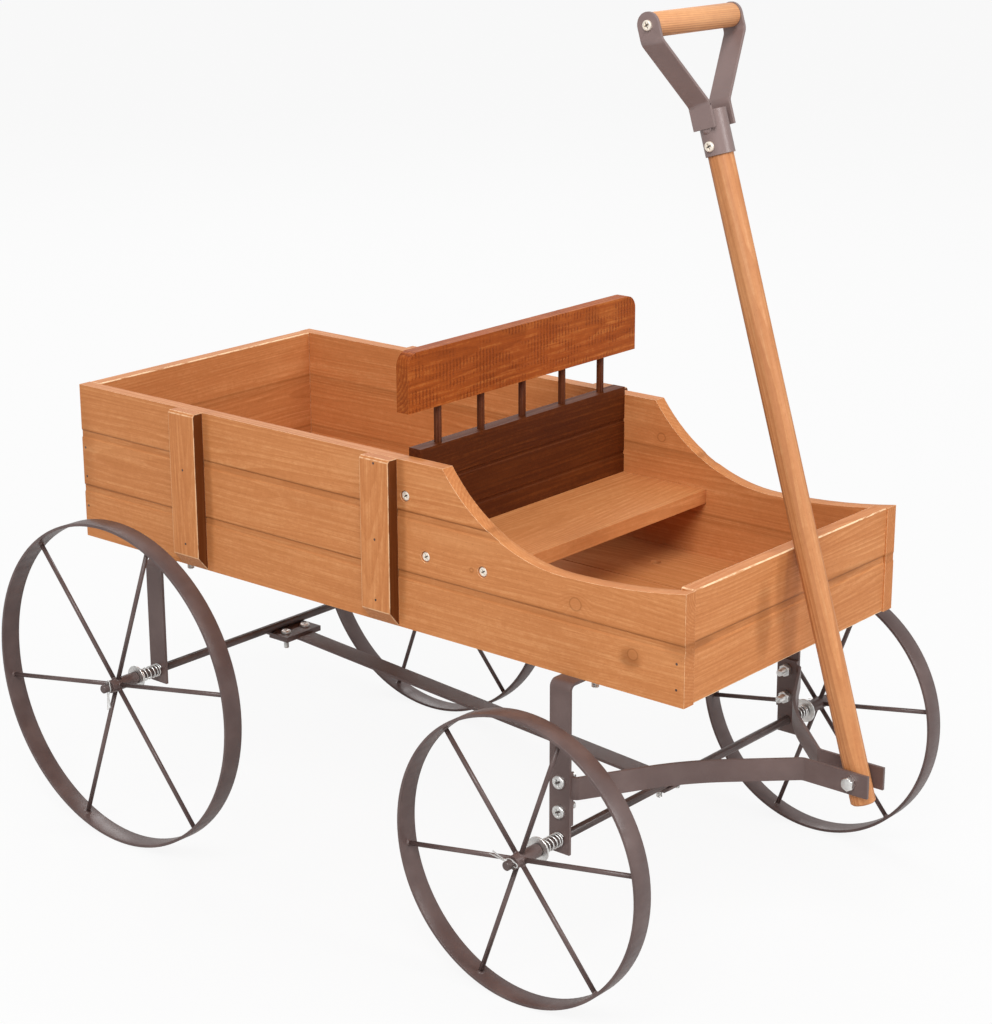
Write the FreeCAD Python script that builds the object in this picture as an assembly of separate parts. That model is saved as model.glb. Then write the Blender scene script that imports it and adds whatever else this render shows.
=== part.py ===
"""Flower cart stand: a wooden wagon planter on four iron spoked wheels, with a pull handle.

Millimetres. +X points to the pull handle, +Y to the cart's left side and +Z up. The origin lies on
the floor below the middle of the overall length. Places along the cart are given as stations,
counted forward from the back face of the wooden box.
"""
import FreeCAD, Part
import math
import os

# ---- Wooden box ------------------------------------------------------------------------------
box_length = 538.0
box_width = 236.0
box_underside = 200.0
side_height = 114.0
front_height = 72.0
board_thickness = 10.0
front_panel_setback = 1.0
scoop_start_station = 348.0
scoop_low_station = 447.0
scoop_low_height = 63.5

# Shallow channels that part the panels into boards
groove_width = 6.5
groove_floor_width = 4.0
groove_depth = 0.7
side_groove_heights = (36.5, 77.5)

# Floor boards
floor_board_count = 3
floor_board_gap = 1.0
drain_hole_radius = 4.0
drain_hole_count = 5

# Upright battens on the sides
batten_width = 25.0
batten_thickness = 9.0
batten_stations = (116.0, 297.0)
batten_bevel_height = 10.5
batten_top_chamfer = 1.5

# Bench: seat board, seat back board, turned spindles and rounded rail
bench_board_width = 72.0
seat_back_station = 321.0
seat_back_top = 119.5
back_groove_pitch = 24.0
back_groove_width = 3.0
back_groove_floor_width = 1.6
rail_overhang = 1.0
rail_height = 39.0
rail_bottom = 145.0
rail_corner_radius = 9.5
spindle_count = 5
spindle_diameter = 5.0
end_spindle_inset = 22.4
spindle_tenon = 8.0

# ---- Running gear ----------------------------------------------------------------------------
rear_axle_station = 84.0
front_axle_station = 453.0
rear_wheel_radius = 118.5
front_wheel_radius = 95.0
rim_width = 15.0
rim_thickness = 2.0
rim_middle_standout = 50.5
spoke_count = 6
spoke_diameter = 3.2
first_spoke_angle = 10.0
hub_length = 24.0
hub_diameter = 9.0
axle_diameter = 6.0
axle_overhang = 6.5
axle_end_chamfer = 0.5

# Flat iron bar
bar_width = 16.0
bar_thickness = 2.0
bracket_standout = 11.5
bracket_bend_radius = 4.0
bracket_foot = 9.5

# Springs, washers and split pins on the axle ends
spring_length = 20.0
spring_diameter = 9.5
spring_wire = 1.2
spring_turns = 5.0
spring_wire_sides = 6
washer_diameter = 17.0
washer_thickness = 1.2
pin_hole_diameter = 2.0
pin_wire_width = 1.4
pin_wire_thickness = 0.65
pin_eye_radius = 2.0
pin_slit = 0.1
pin_leg_length = 15.0
pin_directions = (-90.0, 169.0, -60.0, 200.0)

# Plates that join the brace to the axles
tab_length = 22.0
tab_width = 36.0
tab_bolt_reach = 10.0
tab_bolt_spread = 20.0
tab_behind_axle = 3.0

# ---- Drawbar yoke and pull handle ------------------------------------------------------------
hinge_height = 130.5
arm_height = 15.0
arm_tip = 13.0
arm_parallel_length = 48.0
arm_bow_radius = 170.0
arm_lead_angle = 61.0
arm_bend_radius = 5.0
arm_flange_height = 36.0
arm_flange_drop = 25.5
handle_lean = 17.0
pole_diameter = 16.0
pole_tail = 16.3
pole_end_chamfer = 1.2
grip_height = 480.0
grip_diameter = 15.0
grip_length = 84.0
socket_below_grip = 83.0
socket_length = 27.5
socket_wall = 1.2
socket_screw_up = 6.0
pole_end_below_socket_top = 4.0
strap_lap = 10.8
strap_bend_above_socket = 4.0
strap_bend_below_grip = 10.0
strap_bend_radius = 6.0

# ---- Fasteners -------------------------------------------------------------------------------
bolt_diameter = 5.0
bolt_head_diameter = 9.0
bolt_head_height = 2.6
nut_flats = 8.0
nut_height = 4.0
bolt_tail = 3.0
hex_head_height = 3.5
tab_bolt_diameter = 4.0
tab_bolt_head_diameter = 7.6
tab_bolt_head_height = 2.2
tab_bolt_tail = 8.0
floor_bolt_inset = 14.0
floor_bolt_tail = 8.0
drawbar_bolt_insets = (8.5, 7.5)
screw_diameter = 3.2
screw_length = 24.0
screw_head_diameter = 6.4
screw_head_height = 1.9
screw_sink = 2.1
screw_sink_clearance = 0.55
seat_screw_inset = 12.0
seat_back_screw_height = 90.0
screw_head_taper = 0.45

# ---- Named clearances ------------------------------------------------------------------------
running_clearance = 0.05
hinge_clearance = 0.08
fixed_clearance = 0.05
side_clearance = 0.3
socket_clearance = 0.1
washer_clearance = 0.2
rest_clearance = 0.3
groove_overcut = 1.0
length_tolerance = 1e-6

# ---- Values that follow from the sizes above -------------------------------------------------
box_half = box_width / 2
inner_half = box_half - board_thickness
box_top = box_underside + side_height
floor_top = box_underside + board_thickness
front_panel_face = box_length - front_panel_setback
front_panel_back = front_panel_face - board_thickness
seat_back_rear = seat_back_station - board_thickness
seat_top = box_underside + seat_back_top - bench_board_width + board_thickness
seat_bottom = seat_top - board_thickness

rail_length = box_width + 2 * rail_overhang
spindle_pitch = 2 * (inner_half - end_spindle_inset) / (spindle_count - 1)
floor_bolt_y = inner_half - floor_bolt_inset

bracket_outer_y = box_half + bracket_standout
rim_middle_y = box_half + rim_middle_standout
leg_inner_y = bracket_outer_y - bar_thickness
spring_outer_y = bracket_outer_y + spring_length
washer_inner_y = spring_outer_y + side_clearance
washer_outer_y = washer_inner_y + washer_thickness
hub_inner_y = washer_outer_y + side_clearance
hub_outer_y = hub_inner_y + hub_length
axle_end_y = hub_outer_y + axle_overhang
pin_y = hub_outer_y + side_clearance + pin_eye_radius
axle_radius = axle_diameter / 2

# The leaning pole just clears the front panel's upper edge, which places the hinge
pole_radius = pole_diameter / 2
arm_flange_bottom = hinge_height - arm_flange_drop
arm_flange_top = arm_flange_bottom + arm_flange_height
drawbar_bolt_heights = (arm_flange_bottom + drawbar_bolt_insets[0], arm_flange_top - drawbar_bolt_insets[1])
lean = math.radians(handle_lean)
pole_rise = box_underside + front_height - hinge_height
pole_standoff = (pole_radius + rest_clearance) / math.cos(lean)
hinge_station = front_panel_face + pole_standoff + pole_rise * math.tan(lean)
rearmost_station = rear_axle_station - rear_wheel_radius
foremost_station = hinge_station + arm_tip
middle_station = (rearmost_station + foremost_station) / 2

arm_inner_y = pole_radius + side_clearance
arm_outer_y = arm_inner_y + bar_thickness
arm_flange_inner_y = leg_inner_y - bar_thickness
socket_inner_radius = pole_radius + socket_clearance
socket_outer_radius = socket_inner_radius + socket_wall
socket_bottom = grip_height - socket_below_grip
socket_top = socket_bottom + socket_length
strap_lower_end = socket_top - strap_lap
strap_lower_bend = socket_top + strap_bend_above_socket
strap_upper_bend = grip_height - strap_bend_below_grip


def x_of(station):
    """Turn a station, counted from the back of the box, into an X coordinate."""
    return station - middle_station


def vec(x, y, z):
    return FreeCAD.Vector(x, y, z)


def block(x0, x1, y0, y1, z0, z1):
    """A plain board or plate between two corners."""
    return Part.makeBox(x1 - x0, y1 - y0, z1 - z0, vec(x0, y0, z0))


def rod(start, direction, radius, length):
    return Part.makeCylinder(radius, length, start, direction)


def plane_point(plane, u, v, w=0.0):
    """Place local u, v and depth w on one of the three main planes."""
    if plane == "XY":
        return vec(u, v, w)
    if plane == "XZ":
        return vec(u, w, v)
    return vec(w, u, v)


def plane_depth(plane, depth):
    return plane_point(plane, 0, 0, depth)


def polygon_prism(plane, points, start, depth):
    """A straight-sided outline on one main plane, extruded by depth from start."""
    corners = [plane_point(plane, u, v, start) for u, v in points]
    wire = Part.makePolygon(corners + corners[:1])
    return Part.Face(wire).extrude(plane_depth(plane, depth))


def bar_side(points, radii, offset):
    """One edge of a bent bar: lines and tangent arcs, offset to the left of the centre line."""
    spots = [FreeCAD.Vector(u, v, 0) for u, v in points]
    headings = [(b - a).normalize() for a, b in zip(spots, spots[1:])]
    lefts = [vec(-h.y, h.x, 0) for h in headings]
    pieces = []
    here = spots[0] + lefts[0] * offset
    for index, radius in enumerate(radii):
        before, after = headings[index], headings[index + 1]
        corner = spots[index + 1]
        turn = math.atan2(before.x * after.y - before.y * after.x, before.dot(after))
        reach = radius * math.tan(abs(turn) / 2)
        side = math.copysign(1.0, turn)
        centre = corner - before * reach + lefts[index] * (side * radius)
        own_radius = radius - side * offset
        arc_start = centre - lefts[index] * (side * own_radius)
        arc_end = centre - lefts[index + 1] * (side * own_radius)
        toward = (lefts[index] + lefts[index + 1]).normalize()
        arc_middle = centre - toward * (side * own_radius)
        pieces.append(("line", here, arc_start))
        pieces.append(("arc", arc_start, arc_middle, arc_end))
        here = arc_end
    pieces.append(("line", here, spots[-1] + lefts[-1] * offset))
    return pieces


def bent_bar(plane, points, radii, start, depth, thickness=bar_thickness):
    """Flat bar bent along a centre line of straight runs and tangent arcs, one radius per corner."""
    def place(point):
        return plane_point(plane, point.x, point.y, start)

    left = bar_side(points, radii, thickness / 2)
    right = bar_side(points, radii, -thickness / 2)
    edges = []
    for side in (left, right):
        for piece in side:
            spots = [place(point) for point in piece[1:]]
            if piece[0] == "line":
                edges.append(Part.LineSegment(*spots).toShape())
            else:
                edges.append(Part.Arc(*spots).toShape())
    edges.append(Part.LineSegment(place(left[0][1]), place(right[0][1])).toShape())
    edges.append(Part.LineSegment(place(left[-1][-1]), place(right[-1][-1])).toShape())
    outline = Part.Wire(Part.__sortEdges__(edges))
    return Part.Face(outline).extrude(plane_depth(plane, depth))


def hex_prism(centre, direction, flats, height):
    """A hexagonal nut or bolt head that grows from centre along a main direction."""
    radius = flats / math.sqrt(3)
    corners = []
    for index in range(6):
        angle = math.radians(60 * index)
        corners.append(vec(radius * math.cos(angle), radius * math.sin(angle), 0))
    face = Part.Face(Part.makePolygon(corners + corners[:1]))
    prism = face.extrude(vec(0, 0, height))
    prism.Placement = FreeCAD.Placement(centre, FreeCAD.Rotation(vec(0, 0, 1), direction))
    return prism


def pan_head(seat, direction, diameter, height):
    """A low round screw head whose upper part narrows to a smaller flat top."""
    wall = height * (1 - screw_head_taper)
    foot = rod(seat, direction, diameter / 2, wall)
    top_radius = diameter / 2 - height * screw_head_taper
    crown = Part.makeCone(diameter / 2, top_radius, height - wall, seat + direction * wall, direction)
    return foot.fuse(crown)


def pan_bolt(seat, direction, diameter, head_diameter, head_height, shank):
    """Pan-headed bolt or screw: the head stands out along direction, the shank goes the other way."""
    head = pan_head(seat, direction, head_diameter, head_height)
    body = rod(seat, direction * -1, diameter / 2, shank)
    return head.fuse(body).removeSplitter()


def drilled_nut(centre, direction, diameter, flats, height):
    nut = hex_prism(centre, direction, flats, height)
    return nut.cut(rod(centre, direction, diameter / 2 + fixed_clearance, height))


def save(name, shape):
    """Write one sub-part, a single solid or a group of separate ones."""
    shape.exportStep(os.path.join("parts", name + ".step"))


def save_group(name, solids):
    save(name, Part.makeCompound(solids))


def groove(plane, across, surface, outward, start, length,
           width=groove_width, floor_width=groove_floor_width):
    """A shallow channel cut into a board face, ready to be taken away from the board."""
    top = width / 2
    low = floor_width / 2
    over = surface + outward * groove_overcut
    under = surface - outward * groove_depth
    profile = ((over, across - top), (surface, across - top), (under, across - low),
               (under, across + low), (surface, across + top), (over, across + top))
    return polygon_prism(plane, profile, start, length)


# ==== Wooden box ==============================================================================
def side_outline():
    """Side panel outline: full height at the back, scooped down to the low front."""
    low = vec(x_of(scoop_low_station), 0, box_underside + scoop_low_height)
    scoop_top = vec(x_of(scoop_start_station), 0, box_top)
    front_top = vec(x_of(box_length), 0, box_underside + front_height)
    corners = [scoop_top, vec(x_of(0.0), 0, box_top), vec(x_of(0.0), 0, box_underside),
               vec(front_top.x, 0, box_underside), front_top]
    edges = [Part.LineSegment(a, b).toShape() for a, b in zip(corners, corners[1:])]
    edges.append(arc_from_level(low, front_top))
    edges.append(arc_from_level(low, scoop_top))
    return Part.Wire(Part.__sortEdges__(edges))


def arc_from_level(low, end):
    """Arc in the XZ plane that leaves a low point level and rises to its end."""
    run = end.x - low.x
    rise = end.z - low.z
    radius = (run * run + rise * rise) / (2 * rise)
    half_sweep = math.asin(run / radius) / 2
    middle = low + vec(radius * math.sin(half_sweep), 0, radius * (1 - math.cos(half_sweep)))
    return Part.Arc(low, middle, end).toShape()


def side_panel(side):
    """One grooved side; side is -1 for the right and +1 for the left."""
    panel = Part.Face(side_outline()).extrude(vec(0, board_thickness, 0))
    panel.translate(vec(0, inner_half if side > 0 else -box_half, 0))
    for height in side_groove_heights:
        channel = groove("YZ", box_underside + height, side * box_half, side, x_of(0.0), box_length)
        panel = panel.cut(channel)
    for centre in side_screw_points(side):
        hole = rod(centre, vec(0, -side, 0), screw_diameter / 2 + fixed_clearance, screw_length)
        sink = rod(centre, vec(0, side, 0), screw_head_diameter / 2 + screw_sink_clearance, screw_sink)
        panel = panel.cut([hole, sink])
    return panel


def side_screw_points(side):
    """Seats of the three sunk side screws: one in the seat back, two in the seat board's end."""
    y = side * (box_half - screw_sink)
    seat_middle = (seat_top + seat_bottom) / 2
    first = seat_back_station + seat_screw_inset
    second = seat_back_station + bench_board_width - seat_screw_inset
    return (vec(x_of(seat_back_station - board_thickness / 2), y, box_underside + seat_back_screw_height),
            vec(x_of(first), y, seat_middle),
            vec(x_of(second), y, seat_middle))


def end_panel(back_station, height, outward):
    """Rear or front board between the sides, grooved on its outer face."""
    x0 = x_of(back_station)
    x1 = x0 + board_thickness
    panel = block(x0, x1, -inner_half, inner_half, box_underside, box_underside + height)
    face = x1 if outward > 0 else x0
    for level in side_groove_heights:
        if level + groove_width < height:
            channel = groove("XZ", box_underside + level, face, outward, -inner_half, 2 * inner_half)
            panel = panel.cut(channel)
    return panel


def floor_bolt_points():
    """Tops of the four bolts that hold the axle brackets up against the floor."""
    points = []
    for station in (rear_axle_station, front_axle_station):
        for side in (-1, 1):
            points.append(vec(x_of(station), side * floor_bolt_y, floor_top))
    return points


def floor_board(index):
    """One lengthwise floor board with drain holes and, at the edges, holes for the bracket bolts."""
    width = (2 * inner_half - floor_board_gap * (floor_board_count - 1)) / floor_board_count
    y0 = -inner_half + index * (width + floor_board_gap)
    board = block(x_of(board_thickness), x_of(front_panel_back), y0, y0 + width, box_underside, floor_top)
    for hole in range(drain_hole_count):
        station = box_length * (hole + 0.5) / drain_hole_count
        spot = vec(x_of(station), y0 + width / 2, box_underside)
        board = board.cut(rod(spot, vec(0, 0, 1), drain_hole_radius, board_thickness))
    for point in floor_bolt_points():
        if y0 < point.y < y0 + width:
            hole = rod(point, vec(0, 0, -1), bolt_diameter / 2 + fixed_clearance, board_thickness)
            board = board.cut(hole)
    return board


def batten(station, side):
    """Upright strip nailed to a side, bevelled back to the panel at its foot."""
    inner = side * box_half
    outer = side * (box_half + batten_thickness)
    shoulder = outer - side * batten_top_chamfer
    profile = ((inner, box_underside), (outer, box_underside + batten_bevel_height),
               (outer, box_top - batten_top_chamfer), (shoulder, box_top), (inner, box_top))
    return polygon_prism("YZ", profile, x_of(station) - batten_width / 2, batten_width)


# ==== Bench ===================================================================================
def spindle_ys():
    middle = (spindle_count - 1) / 2
    return [(index - middle) * spindle_pitch for index in range(spindle_count)]


def spindle_holes(bottom):
    """Blind holes for the spindle tenons, starting at a given height."""
    x = x_of(seat_back_station - board_thickness / 2)
    radius = spindle_diameter / 2 + fixed_clearance
    return [rod(vec(x, y, bottom), vec(0, 0, 1), radius, spindle_tenon + fixed_clearance)
            for y in spindle_ys()]


def seat_back_board():
    """Upright board of the bench between the sides, with two channels on its front face."""
    bottom = box_underside + seat_back_top - bench_board_width
    top = box_underside + seat_back_top
    board = block(x_of(seat_back_rear), x_of(seat_back_station), -inner_half, inner_half, bottom, top)
    for index in (1, 2):
        channel = groove("XZ", top - index * back_groove_pitch, x_of(seat_back_station), 1,
                         -inner_half, 2 * inner_half, back_groove_width, back_groove_floor_width)
        board = board.cut(channel)
    for hole in spindle_holes(top - spindle_tenon - fixed_clearance):
        board = board.cut(hole)
    for side in (-1, 1):
        board = board.cut(screw_pilot(side_screw_points(side)[0], side))
    return board


def screw_pilot(point, side):
    return rod(point, vec(0, -side, 0), screw_diameter / 2 + fixed_clearance, screw_length + fixed_clearance)


def seat_board():
    """Flat seat in front of the seat back, screwed through the sides into its ends."""
    board = block(x_of(seat_back_station), x_of(seat_back_station + bench_board_width),
                  -inner_half, inner_half, seat_bottom, seat_top)
    for side in (-1, 1):
        for point in side_screw_points(side)[1:]:
            board = board.cut(screw_pilot(point, side))
    return board


def backrest_rail():
    """Top rail with rounded upper corners, drilled underneath for the spindles."""
    bottom = box_underside + rail_bottom
    rail = block(x_of(seat_back_rear), x_of(seat_back_station), -rail_length / 2, rail_length / 2,
                 bottom, bottom + rail_height)
    middle = bottom + rail_height / 2
    corners = [e for e in rail.Edges
               if abs(e.Length - board_thickness) < length_tolerance and e.CenterOfMass.z > middle]
    rail = rail.makeFillet(rail_corner_radius, corners)
    for hole in spindle_holes(bottom):
        rail = rail.cut(hole)
    return rail


def spindles():
    """Thin round dowels between the seat back board and the rail."""
    x = x_of(seat_back_station - board_thickness / 2)
    bottom = box_underside + seat_back_top - spindle_tenon
    length = rail_bottom - seat_back_top + 2 * spindle_tenon
    return [rod(vec(x, y, bottom), vec(0, 0, 1), spindle_diameter / 2, length) for y in spindle_ys()]


# ==== Running gear ============================================================================
def axle_bracket(station, axle_height, leg_bolts):
    """Flat bar bent to an upturned U: its top is bolted to the floor, its legs carry the axle."""
    leg_y = bracket_outer_y - bar_thickness / 2
    top = box_underside - bar_thickness / 2
    foot = axle_height - bracket_foot
    path = ((-leg_y, foot), (-leg_y, top), (leg_y, top), (leg_y, foot))
    x = x_of(station)
    bracket = bent_bar("YZ", path, (bracket_bend_radius, bracket_bend_radius), x - bar_width / 2, bar_width)
    bracket = bracket.cut(rod(vec(x, -bracket_outer_y, axle_height), vec(0, 1, 0),
                              axle_radius + fixed_clearance, 2 * bracket_outer_y))
    for side in (-1, 1):
        spot = vec(x, side * floor_bolt_y, box_underside)
        bracket = bracket.cut(rod(spot, vec(0, 0, -1), bolt_diameter / 2 + fixed_clearance, bar_thickness))
    for height in leg_bolts:
        bracket = bracket.cut(rod(vec(x, -bracket_outer_y, height), vec(0, 1, 0),
                                  bolt_diameter / 2 + fixed_clearance, 2 * bracket_outer_y))
    return bracket


def axle(station, axle_height, directions):
    """Round axle with eased ends, cross-drilled at both ends for the split pins."""
    x = x_of(station)
    bar = rod(vec(x, -axle_end_y, axle_height), vec(0, 1, 0), axle_radius, 2 * axle_end_y)
    ends = [e for e in bar.Edges if e.Closed and abs(abs(e.CenterOfMass.y) - axle_end_y) < length_tolerance]
    bar = bar.makeChamfer(axle_end_chamfer, ends)
    for side, angle in zip((-1, 1), directions):
        along = vec(math.cos(math.radians(angle)), 0, math.sin(math.radians(angle)))
        start = vec(x, side * pin_y, axle_height) - along * axle_diameter
        bar = bar.cut(rod(start, along, pin_hole_diameter / 2, 2 * axle_diameter))
    return bar


def split_pin(station, axle_height, side, angle):
    """Split pin of flat-sided wire: an eye on one side of the axle, two legs through it."""
    half_width = pin_wire_width / 2
    eye_centre = -(axle_radius + pin_eye_radius)
    eye_inner = pin_eye_radius - pin_wire_thickness
    pin = ring(vec(eye_centre, 0, -half_width), vec(0, 0, 1), pin_eye_radius, eye_inner, pin_wire_width)
    for sign in (-1, 1):
        ys = sorted((sign * pin_slit / 2, sign * (pin_slit / 2 + pin_wire_thickness)))
        leg = block(eye_centre + eye_inner, pin_leg_length, ys[0], ys[1], -half_width, half_width)
        pin = pin.fuse(leg)
    turn = FreeCAD.Rotation(vec(0, -1, 0), angle)
    pin.Placement = FreeCAD.Placement(vec(x_of(station), side * pin_y, axle_height), turn)
    return pin


def arc_from_tangent(start, knee, end):
    """Arc from start to end whose end tangents meet at knee, which is equally far from both."""
    middle = (start + end) * 0.5
    half_chord = (start - middle).Length
    height = (knee - middle).Length
    radius = half_chord * (knee - start).Length / height
    sagitta = radius - math.sqrt(radius * radius - half_chord * half_chord)
    crown = middle + (knee - middle).normalize() * sagitta
    return Part.Arc(start, crown, end).toShape()


def biarc(start, start_heading, end, end_heading):
    """Two tangent arcs that join two points with given headings."""
    span = end - start
    both = start_heading + end_heading
    a = both.dot(both) - 4
    b = span.dot(both)
    reach = (b - math.sqrt(b * b - a * span.dot(span))) / a
    if reach < 0:
        reach = (b + math.sqrt(b * b - a * span.dot(span))) / a
    first_knee = start + start_heading * reach
    second_knee = end - end_heading * reach
    joint = (first_knee + second_knee) * 0.5
    return [arc_from_tangent(start, first_knee, joint), arc_from_tangent(joint, second_knee, end)]


def polygon_ring(centre, direction, radius, sides):
    """A closed wire with equal sides, square to a direction."""
    turn = FreeCAD.Rotation(vec(0, 0, 1), direction)
    corners = []
    for index in range(sides):
        angle = 2 * math.pi * index / sides
        corners.append(centre + turn.multVec(vec(radius * math.cos(angle), radius * math.sin(angle), 0)))
    return Part.makePolygon(corners + corners[:1])


def spring_tube():
    """Open helical spring along +Z from 0, one unbroken tube with straight ends."""
    radius = (spring_diameter - spring_wire) / 2
    wire_radius = spring_wire / 2
    rise = spring_length - spring_wire - 2 * side_clearance
    half_turns = int(round(spring_turns * 2))
    climb = rise / half_turns
    bottom = wire_radius + side_clearance

    def point(count):
        angle = math.pi * count
        return vec(radius * math.cos(angle), radius * math.sin(angle), bottom + climb * count)

    def heading(count):
        angle = math.pi * count
        along = vec(-radius * math.pi * math.sin(angle), radius * math.pi * math.cos(angle), climb)
        return along.normalize()

    edges = []
    for count in range(half_turns):
        edges += biarc(point(count), heading(count), point(count + 1), heading(count + 1))
    start = point(0) - heading(0) * spring_wire
    end = point(half_turns) + heading(half_turns) * spring_wire
    lead_in = Part.LineSegment(start, point(0)).toShape()
    lead_out = Part.LineSegment(point(half_turns), end).toShape()
    path = Part.Wire([lead_in] + edges + [lead_out])
    section = polygon_ring(start, heading(0), wire_radius, spring_wire_sides)
    sweep = Part.BRepOffsetAPI.MakePipeShell(path)
    sweep.add(section)
    sweep.build()
    sweep.makeSolid()
    return sweep.shape(), path


def spring_self_gap(path):
    """Least gap between turns, measured on points along the wire's centre line."""
    points = path.discretize(Number=600)
    turn_length = math.pi * (spring_diameter - spring_wire)
    least = spring_length
    step = path.Length / (len(points) - 1)
    skip = int(turn_length * 0.5 / step)
    for index, here in enumerate(points):
        for other in points[index + skip:]:
            least = min(least, (here - other).Length)
    return least - spring_wire


def placed_spring(tube, station, axle_height, side):
    spring = tube.copy()
    turn = FreeCAD.Rotation(vec(0, 0, 1), vec(0, side, 0))
    spring.Placement = FreeCAD.Placement(vec(x_of(station), side * bracket_outer_y, axle_height), turn)
    return spring


def ring(centre, direction, outer, inner, thickness):
    return rod(centre, direction, outer, thickness).cut(rod(centre, direction, inner, thickness))


def wheel_rim(centre, radius):
    start = centre - vec(0, rim_width / 2, 0)
    return ring(start, vec(0, 1, 0), radius, radius - rim_thickness, rim_width)


def wheel_hub(centre, side):
    start = vec(centre.x, side * hub_inner_y, centre.z)
    return ring(start, vec(0, side, 0), hub_diameter / 2, axle_radius + running_clearance, hub_length)


def wheel_spokes(centre, radius):
    """Round rods welded between the hub tube and the middle of the rim."""
    inside = rod(centre - vec(0, rim_width / 2, 0), vec(0, 1, 0), radius - rim_thickness, rim_width)
    core = rod(centre - vec(0, rim_width / 2, 0), vec(0, 1, 0), hub_diameter / 2, rim_width)
    solids = []
    for index in range(spoke_count):
        angle = math.radians(first_spoke_angle + index * 360.0 / spoke_count)
        along = vec(math.cos(angle), 0, math.sin(angle))
        solids.append(rod(centre, along, spoke_diameter / 2, radius).common(inside).cut(core))
    return solids


def axle_tab(station, axle_height, toward):
    """Flat plate welded under the axle, drilled for the two brace bolts."""
    x = x_of(station)
    ends = sorted((x - toward * tab_behind_axle, x + toward * (tab_length - tab_behind_axle)))
    top = axle_height - axle_radius
    plate = block(ends[0], ends[1], -tab_width / 2, tab_width / 2, top - bar_thickness, top)
    for point in tab_bolt_points(station, axle_height, toward):
        plate = plate.cut(rod(point, vec(0, 0, -1), tab_bolt_diameter / 2 + fixed_clearance, bar_thickness))
    return plate


def tab_bolt_points(station, axle_height, toward):
    x = x_of(station) + toward * tab_bolt_reach
    return [vec(x, side * tab_bolt_spread / 2, axle_height - axle_radius) for side in (-1, 1)]


def brace():
    """Flat bar from the rear axle down to the front one, with a crosswise head at each end."""
    heads = []
    levels = []
    inner_ends = []
    for station, height, toward in brace_ends():
        x = x_of(station)
        ends = sorted((x, x + toward * (tab_length - tab_behind_axle)))
        top = height - axle_radius - bar_thickness
        heads.append(block(ends[0], ends[1], -tab_width / 2, tab_width / 2, top - bar_thickness, top))
        levels.append(top - bar_thickness / 2)
        inner_ends.append(x + toward * (tab_length - tab_behind_axle))
    path = ((inner_ends[0] - bar_width / 2, levels[0]), (inner_ends[0] + bar_width / 4, levels[0]),
            (inner_ends[1] - bar_width / 4, levels[1]), (inner_ends[1] + bar_width / 2, levels[1]))
    bar = bent_bar("XZ", path, (bracket_bend_radius, bracket_bend_radius), -bar_width / 2, bar_width)
    body = bar.fuse(heads).removeSplitter()
    for station, height, toward in brace_ends():
        for point in tab_bolt_points(station, height, toward):
            hole = rod(point, vec(0, 0, -1), tab_bolt_diameter / 2 + fixed_clearance, 2 * bar_thickness)
            body = body.cut(hole)
    return body


def brace_ends():
    """Station, axle height and direction towards the middle of the cart, for both axles."""
    return ((rear_axle_station, rear_wheel_radius, 1), (front_axle_station, front_wheel_radius, -1))


# ==== Drawbar yoke and pull handle ============================================================
def drawbar_arm(side):
    """Curved flat arm: an upright flange bolted inside the bracket leg, and an end beside the pole."""
    leg_x = x_of(front_axle_station)
    flange_y = leg_inner_y - bar_thickness / 2
    end_y = arm_inner_y + bar_thickness / 2
    start = (leg_x + bar_width / 2 - arm_bend_radius, flange_y)
    bend_in = (leg_x + bar_width / 2 + bar_thickness, flange_y)
    bend_out = (x_of(foremost_station - arm_parallel_length), end_y)
    tip = (x_of(foremost_station), end_y)
    run = bend_out[0] - bend_in[0]
    fall = bend_in[1] - bend_out[1]
    chord = math.atan2(fall, run)
    lead = math.radians(arm_lead_angle)
    trail = 2 * chord - lead
    first_leg = math.hypot(run, fall) * math.sin(chord - trail) / math.sin(lead - trail)
    bow = (bend_in[0] + first_leg * math.cos(lead), bend_in[1] - first_leg * math.sin(lead))
    path = [(x, side * y) for x, y in (start, bend_in, bow, bend_out, tip)]
    radii = (arm_bend_radius, arm_bow_radius, arm_bend_radius)
    arm = bent_bar("XY", path, radii, hinge_height - arm_height / 2, arm_height)
    flange_ys = sorted((side * arm_flange_inner_y, side * leg_inner_y))
    flange = block(leg_x - bar_width / 2, leg_x + bar_width / 2, flange_ys[0], flange_ys[1],
                   arm_flange_bottom, arm_flange_bottom + arm_flange_height)
    arm = arm.fuse(flange).removeSplitter()
    for height in drawbar_bolt_heights:
        hole = rod(vec(leg_x, side * leg_inner_y, height), vec(0, -side, 0),
                   bolt_diameter / 2 + fixed_clearance, bar_thickness)
        arm = arm.cut(hole)
    hinge = rod(vec(x_of(hinge_station), side * arm_outer_y, hinge_height), vec(0, -side, 0),
                bolt_diameter / 2 + fixed_clearance, bar_thickness)
    return arm.cut(hinge)


def lean_back(shape):
    """Move a handle piece from upright at the origin to its resting place against the front panel."""
    turn = FreeCAD.Rotation(vec(0, 1, 0), -handle_lean)
    shape.Placement = FreeCAD.Placement(vec(x_of(hinge_station), 0, hinge_height), turn)
    return shape


def pull_pole():
    """Wooden pole, bored for the hinge bolt, with its upper end in the steel socket."""
    length = pole_tail + socket_top - pole_end_below_socket_top
    pole = rod(vec(0, 0, -pole_tail), vec(0, 0, 1), pole_radius, length)
    ends = [e for e in pole.Edges if e.Closed and e.CenterOfMass.z < 0]
    pole = pole.makeChamfer(pole_end_chamfer, ends)
    pole = pole.cut(rod(vec(0, -pole_radius, 0), vec(0, 1, 0),
                        bolt_diameter / 2 + hinge_clearance, pole_diameter))
    point = vec(0, -socket_outer_radius, socket_bottom + socket_screw_up)
    return pole.cut(rod(point, vec(0, 1, 0), screw_diameter / 2 + fixed_clearance, socket_screw_length()))


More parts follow.
